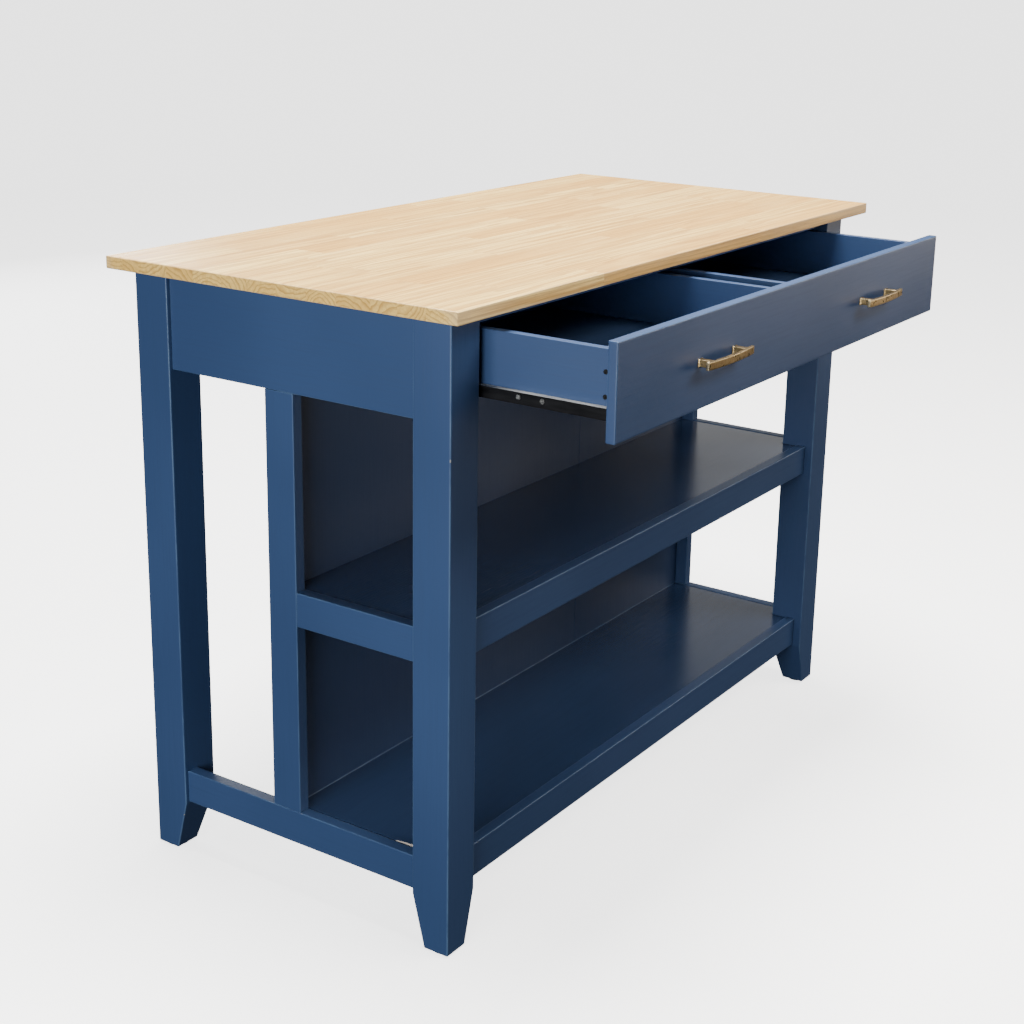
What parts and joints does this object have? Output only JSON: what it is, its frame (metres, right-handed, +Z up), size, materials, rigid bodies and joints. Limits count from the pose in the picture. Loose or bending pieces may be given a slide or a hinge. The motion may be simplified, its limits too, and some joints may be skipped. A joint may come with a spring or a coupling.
{
  "type": "kitchen island cart",
  "caption": "Painted kitchen island with a solid wood worktop, a wide divided drawer on roller slides, open shelves on the drawer side and knee space behind a back panel.",
  "frame": {"origin": "on the floor, under the middle of the whole cart with the drawer standing open", "axes": "+Z up, -Y towards the drawer side, +X along the worktop's length, to the right when the drawer side is faced"},
  "size_m": [1.22, 0.794, 0.904],
  "materials": {
    "butcher_block": "light edge-glued hardwood staves, clear satin lacquer",
    "navy_paint": "satin navy paint over wood, eased edges",
    "antique_brass": "brushed antique brass",
    "black_steel": "black epoxy coated pressed steel",
    "zinc_steel": "zinc plated",
    "white_nylon": "moulded nylon",
    "black_plastic": "moulded plastic",
    "beech_dowel": "plain beech"
  },
  "bodies": {
    "frame": {"back_apron": "navy_paint", "back_panel_centre": "navy_paint", "back_panel_left": "navy_paint", "back_panel_right": "navy_paint", "bottom_back_rail": "navy_paint", "bottom_front_rail": "navy_paint", "bottom_shelf": "navy_paint", "bottom_shelf_cleat_back": "navy_paint", "bottom_shelf_cleat_front": "navy_paint", "bottom_side_rail_left": "navy_paint", "bottom_side_rail_right": "navy_paint", "cabinet_slide_screws": "zinc_steel", "end_apron_left": "navy_paint", "end_apron_right": "navy_paint", "foot_glides": "black_plastic", "front_top_rail": "navy_paint", "leg_back_left": "navy_paint", "leg_back_right": "navy_paint", "leg_front_left": "navy_paint", "leg_front_right": "navy_paint", "middle_shelf": "navy_paint", "middle_shelf_cleat_back": "navy_paint", "middle_shelf_cleat_front": "navy_paint", "panel_top_rail": "navy_paint", "post_left": "navy_paint", "post_right": "navy_paint", "rail_dowels": "beech_dowel", "shelf_front_rail": "navy_paint", "shelf_side_rail_left": "navy_paint", "shelf_side_rail_right": "navy_paint", "slide_block_left": "navy_paint", "slide_block_right": "navy_paint", "slide_cabinet_member_left": "black_steel", "slide_cabinet_member_right": "black_steel", "worktop": "butcher_block", "worktop_cleat_left": "navy_paint", "worktop_cleat_right": "navy_paint", "worktop_screws": "zinc_steel"},
    "drawer": {"drawer_bottom_left": "navy_paint", "drawer_bottom_right": "navy_paint", "drawer_box_back": "navy_paint", "drawer_box_front": "navy_paint", "drawer_corner_screws": "zinc_steel", "drawer_divider_left": "navy_paint", "drawer_divider_right": "navy_paint", "drawer_front": "navy_paint", "drawer_side_left": "navy_paint", "drawer_side_right": "navy_paint", "drawer_slide_screws": "zinc_steel", "pull_left": "antique_brass", "pull_right": "antique_brass", "pull_screws": "zinc_steel", "slide_drawer_member_left": "black_steel", "slide_drawer_member_right": "black_steel"},
    "cabinet_roller_left": {"cabinet_roller_left": "white_nylon"},
    "cabinet_roller_right": {"cabinet_roller_right": "white_nylon"},
    "drawer_roller_left": {"drawer_roller_left": "white_nylon"},
    "drawer_roller_right": {"drawer_roller_right": "white_nylon"}
  },
  "joints": [
    {"name": "drawer_slide", "type": "slide", "parent": "frame", "child": "drawer", "axis": [0, -1, 0], "range_m": [-0.2, 0.1]},
    {"name": "cabinet_roller_turn_left", "type": "hinge", "parent": "frame", "child": "cabinet_roller_left", "pos_m": [-0.514, -0.143, 0.7789], "axis": [1, 0, 0], "range_deg": [-1150, 580]},
    {"name": "drawer_roller_turn_left", "type": "hinge", "parent": "drawer", "child": "drawer_roller_left", "pos_m": [-0.5113, 0.0315, 0.7755], "axis": [1, 0, 0], "range_deg": [-1150, 580]},
    {"name": "cabinet_roller_turn_right", "type": "hinge", "parent": "frame", "child": "cabinet_roller_right", "pos_m": [0.514, -0.143, 0.7789], "axis": [1, 0, 0], "range_deg": [-1150, 580]},
    {"name": "drawer_roller_turn_right", "type": "hinge", "parent": "drawer", "child": "drawer_roller_right", "pos_m": [0.5113, 0.0315, 0.7755], "axis": [1, 0, 0], "range_deg": [-1150, 580]}
  ],
  "couplings": [
    {"joint": "cabinet_roller_turn_left", "follows": "drawer_slide", "rad_per_m": 100},
    {"joint": "drawer_roller_turn_left", "follows": "drawer_slide", "rad_per_m": 100},
    {"joint": "cabinet_roller_turn_right", "follows": "drawer_slide", "rad_per_m": 100},
    {"joint": "drawer_roller_turn_right", "follows": "drawer_slide", "rad_per_m": 100}
  ]
}
